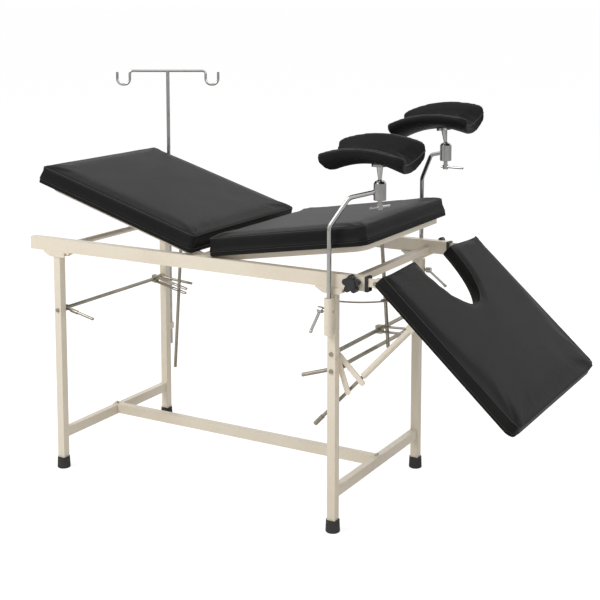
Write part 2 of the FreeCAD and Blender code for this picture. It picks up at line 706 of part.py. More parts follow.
leg_board = horseshoe("leg_board", "8", "leg_length", "leg_half_width - 6", "15", "15 + leg_board_thick", "6", 30)
leg_soft = horseshoe("leg_soft", "3", "leg_length + 5", "leg_half_width", "15 + leg_board_thick",
                     "15 + leg_board_thick + leg_cushion_thick", "0", 38)
for thing, label in ((leg_frame, "leg_frame"), (leg_board, "leg_board"), (leg_soft, "leg_cushion")):
    turn(thing, (0, 1, 0), "leg_tilt")
    place(thing, "leg_pin_x", "0", "leg_pin_z")
    node(thing, label)

# Strut of the leg section: an outer tube on the lug with a rod in its lower end
strut_x = "leg_pin_x + strut_pivot_at * cos(leg_tilt) - strut_pivot_drop * sin(leg_tilt)"
strut_z = "leg_pin_z - strut_pivot_at * sin(leg_tilt) - strut_pivot_drop * cos(leg_tilt)"
strut_eye = bar("strut_eye", "11", "16", "0", "-8", "0", "y")
strut_outer = bar("strut_outer", "9", "strut_tube_length", "0", "0", "-strut_tube_length")
strut_bore = bar("strut_bore", "5 + running_gap", "40", "0", "-20", "0", "y")
strut_inner = bar("strut_inner", "5 + running_gap", "110", "0", "0", "-strut_tube_length - 1")
strut_tube = cut("strut_tube_bored", cut("strut_tube_hollow", fuse("strut_tube_solid", [strut_eye, strut_outer]),
                                         strut_inner), strut_bore)
rod_long = bar("strut_rod_long", "5", "strut_length - strut_tube_length + 55", "0", "0", "-strut_length")
rod_grip = bar("strut_rod_grip", "6.5", "36", "0", "0", "-strut_length - 1")
strut_rod = fuse("strut_rod_solid", [rod_long, rod_grip])
for thing, label in ((strut_tube, "leg_strut_tube"), (strut_rod, "leg_strut_rod")):
    turn(thing, (0, 1, 0), "90 - strut_lean")
    place(thing, strut_x, "strut_y", strut_z)
    node(thing, label)


# Star knob with five lobes around a core, made about Y
def star_knob(label, side):
    body = doc.addObject("PartDesign::Body", label + "_body")
    core_sketch = sketch_on(body, "XZ_Plane", label + "_core")
    index = core_sketch.addGeometry(Part.Circle(FreeCAD.Vector(0, 0, 0), FreeCAD.Vector(0, 0, 1), 16), False)
    core_sketch.addConstraint(Sketcher.Constraint("Coincident", index, 3, -1, 1))
    wide = core_sketch.addConstraint(Sketcher.Constraint("Radius", index, 16))
    core_sketch.setExpression("Constraints[%d]" % wide, rule("knob_core"))
    core = body.newObject("PartDesign::Pad", label + "_core_pad")
    core.Profile = core_sketch
    bind(core, "Length", "knob_thick")
    lobe_sketch = sketch_on(body, "XZ_Plane", label + "_lobe")
    index = lobe_sketch.addGeometry(Part.Circle(FreeCAD.Vector(0, 17, 0), FreeCAD.Vector(0, 0, 1), 9), False)
    lobe_sketch.addConstraint(Sketcher.Constraint("PointOnObject", index, 3, -2))
    reach = lobe_sketch.addConstraint(Sketcher.Constraint("DistanceY", -1, 1, index, 3, 17))
    lobe_sketch.setExpression("Constraints[%d]" % reach, rule("knob_pitch"))
    wide = lobe_sketch.addConstraint(Sketcher.Constraint("Radius", index, 9))
    lobe_sketch.setExpression("Constraints[%d]" % wide, rule("knob_lobe"))
    lobe = body.newObject("PartDesign::Pad", label + "_lobe_pad")
    lobe.Profile = lobe_sketch
    bind(lobe, "Length", "knob_thick - 2")
    around = body.newObject("PartDesign::PolarPattern", label + "_lobes")
    around.Originals = [lobe]
    around.Axis = (core_sketch, ["N_Axis"])
    around.Angle = 360
    around.Occurrences = 5
    body.Tip = around
    doc.recompute()
    hub = bar(label + "_hub", "11", "6", "0", "0", "0", "y")
    stud = bar(label + "_stud", "4", "6.2", "0", "5.5", "0", "y")
    # the head grows towards -Y, the hub and the stud towards +Y
    thing = fuse(label + "_whole", [body, hub, stud])
    if side == "1":
        thing.Placement = FreeCAD.Placement(FreeCAD.Vector(0, 0, 0), FreeCAD.Rotation(FreeCAD.Vector(0, 0, 1), 180))
    place(thing, "knob_x", "%s * (half_track + rail_width / 2 + 6.3)" % side, "rail_top - rail_height / 2")
    return node(thing, label)


star_knob("star_knob_near", "-1")
star_knob("star_knob_far", "1")


# Bent post of a knee crutch in its own plane, then turned towards the middle of the table
def post(label, side, low):
    reach = SIZES["clamp_reach"]
    points = [(0, 0), (0, 298), (54, 378), (reach - SIZES["clamp_radius"] - 1.6, 392)]
    body = bent_body(label + "_body", points, "post_radius", 26)
    collar_ring = bar(label + "_weld", "9", "8", "0", "0", "0")
    thing = group(label + "_set", [body])
    angle = -float(side) * SIZES["arm_turn"]
    thing.Placement = FreeCAD.Placement(FreeCAD.Vector(0, 0, 0), FreeCAD.Rotation(FreeCAD.Vector(0, 0, 1), angle))
    place(thing, "foot_leg_x", side + " * post_y", low)
    doc.removeObject(collar_ring.Name)
    return node(thing, label)


post("crutch_post_near", "-1", "near_post_z")
post("crutch_post_far", "1", "far_post_z")


def clamp_centre(side, low):
    return ("foot_leg_x + clamp_reach * cos(arm_turn)",
            "%s * (post_y - clamp_reach * sin(arm_turn))" % side, "%s + clamp_rise" % low)


# Ball clamp: a domed barrel with a round seat for the ball and a tapped hole below
def ball_clamp(label, side, low):
    x, y, z = clamp_centre(side, low)
    body = doc.addObject("PartDesign::Body", label + "_body")
    outline = sketch_on(body, "XZ_Plane", label + "_outline")
    r = SIZES["clamp_radius"]
    h = SIZES["clamp_height"]
    pts = [(6.06, 0), (r - 1, 0), (r, 1), (r, h - 8), (r - 4, h - 2), (8.4, h), (9.2, h - 1)]
    for i in range(len(pts) - 1):
        outline.addGeometry(Part.LineSegment(FreeCAD.Vector(pts[i][0], pts[i][1], 0),
                                             FreeCAD.Vector(pts[i + 1][0], pts[i + 1][1], 0)), False)
    seat_r = SIZES["ball_radius"] + SIZES["running_gap"]
    seat_z = h - 1 - math.sqrt(seat_r ** 2 - 9.2 ** 2)
    low_z = seat_z - math.sqrt(seat_r ** 2 - 6.06 ** 2)
    outline.addGeometry(Part.Arc(FreeCAD.Vector(9.2, h - 1, 0), FreeCAD.Vector(seat_r, seat_z, 0),
                                 FreeCAD.Vector(6.06, low_z, 0)), False)
    outline.addGeometry(Part.LineSegment(FreeCAD.Vector(6.06, low_z, 0), FreeCAD.Vector(6.06, 0, 0)), False)
    doc.recompute()
    turned = body.newObject("PartDesign::Revolution", label + "_turned")
    turned.Profile = outline
    turned.ReferenceAxis = (outline, ["V_Axis"])
    turned.Angle = 360
    body.Tip = turned
    place(body, x, y, z)
    return node(body, label)


ball_clamp("crutch_clamp_near", "-1", "near_post_z")
ball_clamp("crutch_clamp_far", "1", "far_post_z")
seat_drop = 1 + math.sqrt((SIZES["ball_radius"] + SIZES["running_gap"]) ** 2 - 9.2 ** 2)
size_ball_z = "clamp_height - %.3f" % seat_drop


# Ball stem with a tapered neck and the round boss that the pad sits on
def ball_stem(label, side, low, tip):
    x, y, z = clamp_centre(side, low)
    # the stem leans with the pad that it carries
    ball = doc.addObject("Part::Sphere", label + "_ball")
    bind(ball, "Radius", "ball_radius")
    neck = doc.addObject("Part::Cone", label + "_neck")
    neck.Radius1 = 4.8
    neck.Radius2 = 9.5
    neck.Height = 40
    neck.Placement.Base.z = 8
    boss = bar(label + "_boss", "23", "7", "0", "0", "47")
    thing = fuse(label + "_whole", [ball, neck, boss])
    turn(thing, (0, -1, 0), tip)
    place(thing, x, y, "%s + %s" % (z, size_ball_z))
    return node(thing, label)


ball_stem("ball_stem_near", "-1", "near_post_z", "1")
ball_stem("ball_stem_far", "1", "far_post_z", "7")


# Clamp spindle with its sliding bar
def spindle(label, side, low, direction, shift):
    x, y, z = clamp_centre(side, low)
    shaft = bar(label + "_shaft", "6", "40", "0", "0", "-18")
    head = bar(label + "_head", "8", "14", "0", "0", "-26")
    tee = bar(label + "_tee", "3.5", "74", "0", "0", "-19", "x")
    spin = FreeCAD.Rotation(FreeCAD.Vector(0, 0, 1), direction)
    start = spin.multVec(FreeCAD.Vector(-37 + shift, 0, 0))
    tee.setExpression("Placement.Base.x", None)
    tee.setExpression("Placement.Base.y", None)
    tee.setExpression("Placement.Base.z", None)
    tee.Placement = FreeCAD.Placement(FreeCAD.Vector(start.x, start.y, -19), spin * AIM["x"])
    thing = fuse(label + "_whole", [shaft, head, tee])
    return node(place(thing, x, y, z), label)


spindle("clamp_spindle_near", "-1", "near_post_z", 70, 0)
spindle("clamp_spindle_far", "1", "far_post_z", -5, 22)


# Knee pad: a trough whose far wall is higher, swept on an arch about a level axis below
def knee_pad(label, side, low, tip):
    x, y, z = clamp_centre(side, low)
    body = doc.addObject("PartDesign::Body", label + "_body")
    outline = sketch_on(body, "YZ_Plane", label + "_outline")
    inner = SIZES["knee_inner"]
    outer = inner + SIZES["knee_thick"]
    low_a = math.radians(-90 - 52)
    high_a = math.radians(-90 + 75)

    def on(radius, angle):
        return FreeCAD.Vector(radius * math.cos(angle), outer + radius * math.sin(angle), 0)

    mid = math.radians(-90)
    half = (inner + outer) / 2

    def cap(angle, way):
        base = on(half, angle)
        return base + FreeCAD.Vector(-math.sin(angle), math.cos(angle), 0) * way * (outer - inner) / 2

    outline.addGeometry(Part.Arc(on(outer, low_a), on(outer, mid), on(outer, high_a)), False)
    outline.addGeometry(Part.Arc(on(outer, high_a), cap(high_a, 1), on(inner, high_a)), False)
    outline.addGeometry(Part.Arc(on(inner, high_a), on(inner, mid), on(inner, low_a)), False)
    outline.addGeometry(Part.Arc(on(inner, low_a), cap(low_a, -1), on(outer, low_a)), False)
    doc.recompute()
    axis = outline.addGeometry(Part.LineSegment(
        FreeCAD.Vector(-50, SIZES["knee_thick"] - SIZES["knee_arch"], 0),
        FreeCAD.Vector(50, SIZES["knee_thick"] - SIZES["knee_arch"], 0)), True)
    sweep = body.newObject("PartDesign::Revolution", label + "_sweep")
    sweep.Profile = outline
    sweep.ReferenceAxis = (outline, ["Axis0"])
    sweep.Midplane = True
    bind(sweep, "Angle", "knee_sweep")
    body.Tip = sweep
    doc.recompute()
    trim = block(label + "_trim_block", "292", "178", "260", "0", "7", "40")
    trim = round_edges(label + "_trim", trim, 54, upright)
    pad = doc.addObject("Part::MultiCommon", label + "_pad")
    pad.Shapes = [body, trim]
    place(pad, "-knee_offset", "0", "53")
    flat = bar(label + "_flat", "24", "40", "0", "0", "54.3 - 40")
    thing = cut(label + "_whole", pad, flat)
    turn(thing, (0, -1, 0), tip)
    return node(place(thing, x, y, "%s + %s" % (z, size_ball_z)), label)


knee_pad("knee_pad_near", "-1", "near_post_z", "1")
knee_pad("knee_pad_far", "1", "far_post_z", "7")


# Clamping screws of the post sockets, with a bent lever
def socket_screw(label, side, way):
    flip = "-1" if way < 0 else "1"
    stud = bar(label + "_stud", "4", "22", "0", "0", "0", "x")
    head = bar(label + "_head", "9", "14", "13", "0", "0", "x")
    arm = bar(label + "_arm", "4.2", "72", "20", "0", "0", "z")
    arm.Placement = FreeCAD.Placement(FreeCAD.Vector(0, 0, 0), FreeCAD.Rotation(FreeCAD.Vector(0, 1, 0), 155 if way < 0 else 128))
    place(arm, "20", "0", "0")
    knob = doc.addObject("Part::Sphere", label + "_tip")
    knob.Radius = 5.5
    spin = FreeCAD.Rotation(FreeCAD.Vector(0, 1, 0), 155 if way < 0 else 128).multVec(FreeCAD.Vector(0, 0, 72))
    knob.Placement.Base = FreeCAD.Vector(20 + spin.x, 0, spin.z)
    thing = fuse(label + "_whole", [stud, head, arm, knob])
    if way < 0:
        thing.Placement = FreeCAD.Placement(FreeCAD.Vector(0, 0, 0), FreeCAD.Rotation(FreeCAD.Vector(0, 0, 1), 180))
    return node(place(thing, "foot_leg_x + %s * (post_radius + 0.3)" % flip, side + " * post_y", "socket_low_z + 68"), label)


socket_screw("socket_screw_near", "-1", -1)
socket_screw("socket_screw_far", "1", 1)

# Infusion pole with a cross arm that ends in two hooks
reach = SIZES["hook_reach"]
left = reach + 44
points = [(-left, 0), (-left, -44), (-reach, -44), (-reach, 4), (reach, 4), (reach, -44), (left, -44), (left, 0)]
bends = [0, 20, 20, 10, 10, 20, 20, 0]
hook_body = doc.addObject("PartDesign::Body", "hook_body")
hook_path = sketch_on(hook_body, "XZ_Plane", "hook_path")
corner = [FreeCAD.Vector(p[0] + left, p[1], 0) for p in points]
here = corner[0]
for i in range(1, len(corner) - 1):
    before = (corner[i - 1] - corner[i]).normalize()
    after = (corner[i + 1] - corner[i]).normalize()
    one = corner[i] + before * bends[i]
    two = corner[i] + after * bends[i]
    centre = corner[i] + (before + after) * bends[i]
    middle = centre + (corner[i] - centre).normalize() * bends[i]
    if (one - here).Length > 1e-6:
        hook_path.addGeometry(Part.LineSegment(here, one), False)
    hook_path.addGeometry(Part.Arc(one, middle, two), False)
    here = two
hook_path.addGeometry(Part.LineSegment(here, corner[-1]), False)
hook_ring = sketch_on(hook_body, "XY_Plane", "hook_ring")
index = hook_ring.addGeometry(Part.Circle(FreeCAD.Vector(0, 0, 0), FreeCAD.Vector(0, 0, 1), 4.5), False)
hook_ring.addConstraint(Sketcher.Constraint("Coincident", index, 3, -1, 1))
wide = hook_ring.addConstraint(Sketcher.Constraint("Radius", index, 4.5))
hook_ring.setExpression("Constraints[%d]" % wide, rule("hook_radius"))
doc.recompute()
hook_sweep = hook_body.newObject("PartDesign::AdditivePipe", "hook_sweep")
hook_sweep.Profile = hook_ring
hook_sweep.Spine = (hook_path, [])
turn(hook_body, (0, 0, 1), "pole_swivel")
place(hook_body, "head_leg_x - (hook_reach + 44) * cos(pole_swivel)",
      "pole_y - (hook_reach + 44) * sin(pole_swivel)", "pole_top_z - 4")
shaft = bar("pole_shaft", "pole_radius", "pole_top_z - pole_low_z", "head_leg_x", "pole_y", "pole_low_z")
node(fuse("pole_whole", [shaft, hook_body]), "iv_pole")

# Clamping screw of the pole, with wings
screw_stud = bar("pole_screw_stud", "3", "14", "head_leg_x", "pole_y + pole_radius + 0.3", "640", "y")
screw_head = bar("pole_screw_head", "8", "8", "head_leg_x", "pole_y + pole_radius + 10", "640", "y")
screw_wing = block("pole_screw_wing", "34", "5", "9", "head_leg_x", "pole_y + pole_radius + 15", "640")
node(fuse("pole_screw_whole", [screw_stud, screw_head, screw_wing]), "pole_clamp_screw")

doc.recompute()
bad = []
for thing in doc.Objects:
    if "Invalid" in thing.State or "Error" in thing.State:
        bad.append((thing.Name, thing.State))
for thing in NODES:
    if thing.Shape.isNull() or not thing.Shape.isValid() or not thing.Shape.Solids:
        bad.append((thing.Label, "shape"))
if bad:
    raise RuntimeError("not valid: %s" % bad)
os.makedirs("parts", exist_ok=True)
# The origin lies under the middle of the whole box, with the pole's hooks in it
middle = FreeCAD.Vector(-origin_x, -origin_y, 0)
shapes = [thing.Shape.translated(middle) for thing in NODES]
for thing, shape in zip(NODES, shapes):
    shape.exportStep("parts/%s.step" % thing.Label)
whole = Part.makeCompound(shapes)
box = whole.BoundBox
print("nodes", len(NODES), "box", [round(v, 1) for v in (box.XMin, box.XMax, box.YMin, box.YMax, box.ZMin, box.ZMax)])
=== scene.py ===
# %% [markdown]
# # An obstetric delivery table
# The table is a cream tube frame with black vinyl pads, bright steel crutches and plated clamp parts.
# The frame comes from the CAD model with every piece in place. This script adds what CAD leaves out:
# the soft pads, seams, welds, screws and finishes, and then the light and the camera.

# %% The frame and its box
import bpy
import bmesh
import json
import math
from mathutils import Matrix, Vector, noise
from mathutils.bvhtree import BVHTree


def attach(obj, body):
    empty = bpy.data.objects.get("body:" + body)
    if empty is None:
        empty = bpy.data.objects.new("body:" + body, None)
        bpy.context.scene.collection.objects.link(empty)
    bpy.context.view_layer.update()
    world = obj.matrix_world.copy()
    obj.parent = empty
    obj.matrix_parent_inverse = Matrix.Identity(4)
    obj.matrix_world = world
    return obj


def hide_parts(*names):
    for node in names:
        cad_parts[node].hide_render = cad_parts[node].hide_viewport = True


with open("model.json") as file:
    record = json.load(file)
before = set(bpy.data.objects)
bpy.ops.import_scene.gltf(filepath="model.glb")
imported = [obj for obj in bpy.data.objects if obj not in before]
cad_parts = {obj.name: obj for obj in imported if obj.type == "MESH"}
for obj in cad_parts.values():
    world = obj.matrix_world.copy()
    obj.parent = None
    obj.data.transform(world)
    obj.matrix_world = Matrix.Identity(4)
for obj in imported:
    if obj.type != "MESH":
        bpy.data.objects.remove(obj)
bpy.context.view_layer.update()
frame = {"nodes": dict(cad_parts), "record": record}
NODES = frame["nodes"]
MM = 0.001

# %% [markdown]
# ## Camera
# The place, slope and focal length of the camera were solved from the straight edges of the frame.
# The photograph is cropped below its optical axis, so the lens is shifted down instead of tilted.
# A tilt would make the legs lean together, which they do not do in the photograph.

# %% Camera
AZIMUTH = math.radians(29.78)
PITCH = math.radians(6.9)
camera_data = bpy.data.cameras.new("camera")
camera_data.sensor_width = 36
camera_data.lens = 74.1
camera_data.shift_y = -0.251
camera_data.clip_end = 600
camera = bpy.data.objects.new("camera", camera_data)
camera.location = (1.8618, -3.2589, 1.4898)
look = Vector((-math.sin(AZIMUTH) * math.cos(PITCH), math.cos(AZIMUTH) * math.cos(PITCH), -math.sin(PITCH)))
camera.rotation_mode = "QUATERNION"
camera.rotation_quaternion = look.to_track_quat("-Z", "Y")
bpy.context.collection.objects.link(camera)
bpy.context.scene.camera = camera

# %% [markdown]
# ## Shader groups
# Three effects return on many finishes: edge wear, cloudy dirt, and the grain of the vinyl.
# Each one is a node group that only puts out masks or heights. The shader itself stays in the
# material, so every finish can use the effect at its own strength.


# %% Helpers for node groups
def group_with(name, inputs, outputs):
    tree = bpy.data.node_groups.new(name, "ShaderNodeTree")
    for label, value in inputs:
        socket = tree.interface.new_socket(label, in_out="INPUT", socket_type="NodeSocketFloat")
        socket.default_value = value
    for label in outputs:
        tree.interface.new_socket(label, in_out="OUTPUT", socket_type="NodeSocketFloat")
    return tree, tree.nodes.new("NodeGroupInput"), tree.nodes.new("NodeGroupOutput")


def math_node(tree, operation, first, second):
    node = tree.nodes.new("ShaderNodeMath")
    node.operation = operation
    for socket, value in zip(node.inputs, (first, second)):
        if isinstance(value, (int, float)):
            socket.default_value = value
        else:
            tree.links.new(value, socket)
    return node.outputs[0]


def noise_node(tree, scale, detail, distortion=0.0):
    place = tree.nodes.new("ShaderNodeTexCoord")
    node = tree.nodes.new("ShaderNodeTexNoise")
    node.inputs["Detail"].default_value = detail
    node.inputs["Distortion"].default_value = distortion
    tree.links.new(place.outputs["Object"], node.inputs["Vector"])
    if isinstance(scale, (int, float)):
        node.inputs["Scale"].default_value = scale
    else:
        tree.links.new(scale, node.inputs["Scale"])
    return node.outputs["Fac"]


def ramp_node(tree, value, low, high):
    node = tree.nodes.new("ShaderNodeMapRange")
    node.interpolation_type = "SMOOTHSTEP"
    node.inputs["From Min"].default_value = low
    node.inputs["From Max"].default_value = high
    tree.links.new(value, node.inputs["Value"])
    return node.outputs["Result"]


# %% Edge wear: convex edges, broken up by noise
wear, wear_in, wear_out = group_with("edge_wear", [("Scale", 90.0)], ["Wear"])
shape = wear.nodes.new("ShaderNodeNewGeometry")
edge = ramp_node(wear, shape.outputs["Pointiness"], 0.56, 0.68)
broken = ramp_node(wear, noise_node(wear, wear_in.outputs["Scale"], 6.0, 0.4), 0.46, 0.64)
wear.links.new(math_node(wear, "MULTIPLY", edge, broken), wear_out.inputs["Wear"])

# %% Clouds: broad stains and fine specks
clouds, clouds_in, clouds_out = group_with("clouds", [("Scale", 6.0)], ["Broad", "Fine"])
clouds.links.new(noise_node(clouds, clouds_in.outputs["Scale"], 5.0, 0.6), clouds_out.inputs["Broad"])
fine_scale = math_node(clouds, "MULTIPLY", clouds_in.outputs["Scale"], 60.0)
clouds.links.new(noise_node(clouds, fine_scale, 3.0), clouds_out.inputs["Fine"])

# %% Vinyl grain: small pebbles with creases between them
grain, grain_in, grain_out = group_with("vinyl_grain", [("Scale", 520.0)], ["Height", "Crease"])
grain_place = grain.nodes.new("ShaderNodeTexCoord")
pebbles = grain.nodes.new("ShaderNodeTexVoronoi")
pebbles.feature = "DISTANCE_TO_EDGE"
pebbles.inputs["Randomness"].default_value = 0.85
grain.links.new(grain_place.outputs["Object"], pebbles.inputs["Vector"])
grain.links.new(grain_in.outputs["Scale"], pebbles.inputs["Scale"])
crease = ramp_node(grain, pebbles.outputs["Distance"], 0.0, 0.22)
waves = noise_node(grain, 38.0, 4.0, 0.8)
grain.links.new(math_node(grain, "ADD", crease, math_node(grain, "MULTIPLY", waves, 0.8)),
                grain_out.inputs["Height"])
grain.links.new(crease, grain_out.inputs["Crease"])
print("groups", [tree.name for tree in bpy.data.node_groups])

# %% [markdown]
# ## Finishes
# Each finish starts from a Principled shader whose constants are typed straight onto its sockets.
# Colour and roughness vary through the groups. The cream enamel yellows a little in clouds, the vinyl
# has a pebbled grain, and the plated steel is duller than the bright crutches.


# %% A finish that mixes two colours and two roughnesses by masks
def finish(name, light, dark, rough, metallic=0.0, cloud_scale=6.0, bump=0.1, bump_size=0.0004,
           worn=None, wear_amount=0.5, coat=0.0, grained=0.0, specular=0.5, streak=False):
    material = bpy.data.materials.new(name)
    material.use_nodes = True
    tree = material.node_tree
    shader = tree.nodes["Principled BSDF"]
    shader.inputs["Metallic"].default_value = metallic
    shader.inputs["Coat Weight"].default_value = coat
    shader.inputs["Coat Roughness"].default_value = 0.12
    shader.inputs["Specular IOR Level"].default_value = specular
    cloud = tree.nodes.new("ShaderNodeGroup")
    cloud.node_tree = clouds
    cloud.inputs["Scale"].default_value = cloud_scale
    colour = tree.nodes.new("ShaderNodeMix")
    colour.data_type = "RGBA"
    colour.inputs[6].default_value = (*light, 1)
    colour.inputs[7].default_value = (*dark, 1)
    tree.links.new(ramp_node(tree, cloud.outputs["Broad"], 0.35, 0.75), colour.inputs[0])
    last = colour.outputs[2]
    if worn:
        edge_wear = tree.nodes.new("ShaderNodeGroup")
        edge_wear.node_tree = wear
        rubbed = tree.nodes.new("ShaderNodeMix")
        rubbed.data_type = "RGBA"
        rubbed.inputs[7].default_value = (*worn, 1)
        tree.links.new(last, rubbed.inputs[6])
        tree.links.new(math_node(tree, "MULTIPLY", edge_wear.outputs["Wear"], wear_amount), rubbed.inputs[0])
        last = rubbed.outputs[2]
    tree.links.new(last, shader.inputs["Base Color"])
    spread = math_node(tree, "MULTIPLY", cloud.outputs["Fine"], rough[1] - rough[0])
    tree.links.new(math_node(tree, "ADD", spread, rough[0]), shader.inputs["Roughness"])
    lift = tree.nodes.new("ShaderNodeBump")
    lift.inputs["Strength"].default_value = bump
    lift.inputs["Distance"].default_value = bump_size
    if grained:
        pebble = tree.nodes.new("ShaderNodeGroup")
        pebble.node_tree = grain
        pebble.inputs["Scale"].default_value = grained
        tree.links.new(pebble.outputs["Height"], lift.inputs["Height"])
    elif streak:
        place = tree.nodes.new("ShaderNodeTexCoord")
        stretch = tree.nodes.new("ShaderNodeMapping")
        stretch.inputs["Scale"].default_value = (30, 900, 900)
        lines = tree.nodes.new("ShaderNodeTexNoise")
        lines.inputs["Detail"].default_value = 4
        tree.links.new(place.outputs["Object"], stretch.inputs["Vector"])
        tree.links.new(stretch.outputs["Vector"], lines.inputs["Vector"])
        tree.links.new(lines.outputs["Fac"], lift.inputs["Height"])
    else:
        tree.links.new(cloud.outputs["Fine"], lift.inputs["Height"])
    tree.links.new(lift.outputs["Normal"], shader.inputs["Normal"])
    return material


# %% The finishes of this table
enamel = finish("ivory_enamel", (0.82, 0.735, 0.60), (0.76, 0.67, 0.53), (0.26, 0.40), cloud_scale=4.0,
                bump=0.06, bump_size=0.0004, worn=(0.55, 0.48, 0.38), wear_amount=0.12, coat=0.25)
vinyl = finish("black_vinyl", (0.0105, 0.010, 0.010), (0.0145, 0.014, 0.0137), (0.36, 0.48), cloud_scale=5.0,
               bump=0.28, bump_size=0.0005, grained=520.0, specular=0.08, worn=(0.03, 0.029, 0.028),
               wear_amount=0.3)
wrap = finish("board_wrap", (0.010, 0.0095, 0.009), (0.014, 0.0135, 0.013), (0.5, 0.65), cloud_scale=8.0,
              bump=0.3, bump_size=0.0006, grained=520.0, specular=0.08)
rubber = finish("foot_rubber", (0.018, 0.017, 0.016), (0.03, 0.028, 0.026), (0.6, 0.8), cloud_scale=20.0,
                bump=0.3, bump_size=0.0006, worn=(0.09, 0.085, 0.08))
plastic = finish("black_plastic", (0.013, 0.013, 0.014), (0.02, 0.02, 0.021), (0.3, 0.45), cloud_scale=20.0,
                 bump=0.15, bump_size=0.0003, worn=(0.07, 0.07, 0.07))
bright = finish("bright_steel", (0.50, 0.495, 0.48), (0.40, 0.395, 0.38), (0.12, 0.28), metallic=1.0,
                cloud_scale=14.0, bump=0.04, bump_size=0.0003, worn=(0.6, 0.6, 0.59))
plated = finish("plated_steel", (0.38, 0.345, 0.285), (0.28, 0.25, 0.20), (0.28, 0.46), metallic=1.0,
                cloud_scale=18.0, bump=0.08, bump_size=0.0004, streak=True, worn=(0.52, 0.49, 0.43),
                wear_amount=0.3)
thread = finish("seam_thread", (0.016, 0.0155, 0.015), (0.022, 0.021, 0.020), (0.6, 0.75), cloud_scale=60.0,
                bump=0.4, bump_size=0.0003)
BY_SLOT = {"frame_paint": enamel, "vinyl": vinyl, "backing_board": wrap, "rubber": rubber,
           "black_plastic": plastic, "bright_steel": bright, "plated_steel": plated}

# %% [markdown]
# ## Dressing the metal
# The CAD pieces keep their shape. Folded and rolled steel never has a knife edge, so a small bevel
# catches the light along the rails, legs and plates.

# %% Materials and bevels on the CAD pieces
EDGE_WIDTH = 0.0011
SHARP = ("leg_head", "leg_foot", "side_rail", "gusset", "cross_tube_foot", "lower_crossbar", "stretcher",
         "plug_collars", "clamp_plates", "strut_clamp_bars", "star_knob", "back_frame", "seat_frame")
for row in frame["record"]["subparts"]:
    piece = NODES[row["node"]]
    material = BY_SLOT[row["material_slot"]]
    if not piece.material_slots:
        piece.data.materials.append(material)
    for place in piece.material_slots:
        place.material = material
    if row["node"].startswith(SHARP):
        bevel = piece.modifiers.new("edge", "BEVEL")
        bevel.width = EDGE_WIDTH
        bevel.segments = 2
        bevel.limit_method = "ANGLE"
        bevel.angle_limit = math.radians(40)
        bevel.harden_normals = False

# %% [markdown]
# ## The pads
# A vinyl pad is a foam block pulled over its board: nearly flat, with full edges and soft corners.
# Modelling that by hand looks like a brick. Here each CAD block is remeshed into small even faces,
# then Blender's cloth inflates it a little while its underside is held on the board.
# The travel of every point is capped, so the pad stays in its space.

# %% Places of the three sections, as the CAD model has them
# The drawing is laid out from the middle of the leg track. The origin lies under the middle of the
# whole box instead, and the infusion pole's hooks move that middle a little.
MIDDLE = Vector((0.0185, 0.040, 0))
BACK = Matrix.Translation(Vector((-0.145, 0, 0.738)) - MIDDLE) @ Matrix.Rotation(math.radians(16.4), 4, "Y")
SEAT = Matrix.Translation(Vector((-0.109, 0, 0.738)) - MIDDLE) @ Matrix.Rotation(math.radians(-9.2), 4, "Y")
LEG = Matrix.Translation(Vector((0.438, 0, 0.730)) - MIDDLE) @ Matrix.Rotation(math.radians(42.3), 4, "Y")


# %% Helpers for meshes
def link(obj):
    bpy.context.collection.objects.link(obj)
    return obj


def baked(obj):
    bpy.context.view_layer.update()
    return bpy.data.meshes.new_from_object(obj.evaluated_get(bpy.context.evaluated_depsgraph_get()))


def box_of(mesh):
    lo = Vector([min(v.co[i] for v in mesh.vertices) for i in range(3)])
    hi = Vector([max(v.co[i] for v in mesh.vertices) for i in range(3)])
    return lo, hi


# %% Inflate a CAD block into a pad
CLOTH_STEPS = 20
CLOTH_PRESSURE = 4
SURFACE_RIPPLE = 0.0007
RIPPLE_START = {"back_cushion": 1, "seat_cushion": 1, "leg_cushion": 0, "knee_pad_near": 2, "knee_pad_far": 2}


